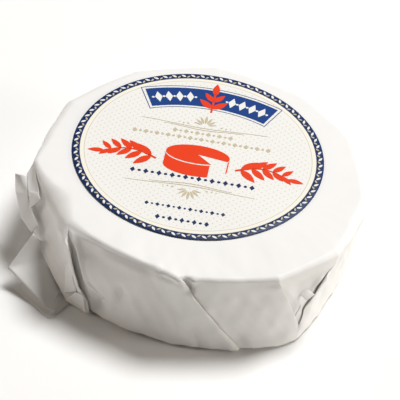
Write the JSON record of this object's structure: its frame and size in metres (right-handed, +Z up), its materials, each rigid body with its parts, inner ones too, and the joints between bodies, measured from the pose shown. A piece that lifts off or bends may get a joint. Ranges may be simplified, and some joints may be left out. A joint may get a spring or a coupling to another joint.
{
  "type": "wrapped cheese wheel",
  "caption": "Small round soft-ripened cheese wheel wrapped in pleated white paper, with a round label on top and a plain seal underneath.",
  "frame": {"origin": "on the wheel's axis, at the flat underside that it rests on", "axes": "+Z up along the wheel's axis; the top label reads upright when seen from -Y, so its top is towards +Y; the paper's loose corner sticks out towards -X and -Y"},
  "size_m": [0.1105, 0.105, 0.0282],
  "materials": {
    "rind": "soft white mould rind, matt and velvety",
    "wrap_paper": "white waxed wrapping paper, satin, with creases",
    "label_paper": "coated label paper, satin, printed",
    "label_navy": "navy printing ink",
    "label_red": "orange-red printing ink",
    "label_gold": "pale gold printing ink",
    "label_white": "white printing ink",
    "seal_paper": "plain uncoated sticker paper"
  },
  "bodies": {
    "root": {"cheese_wheel": "rind", "paper_wrap": "wrap_paper", "top_label": "label_paper", "base_seal": "seal_paper"}
  },
  "joints": []
}
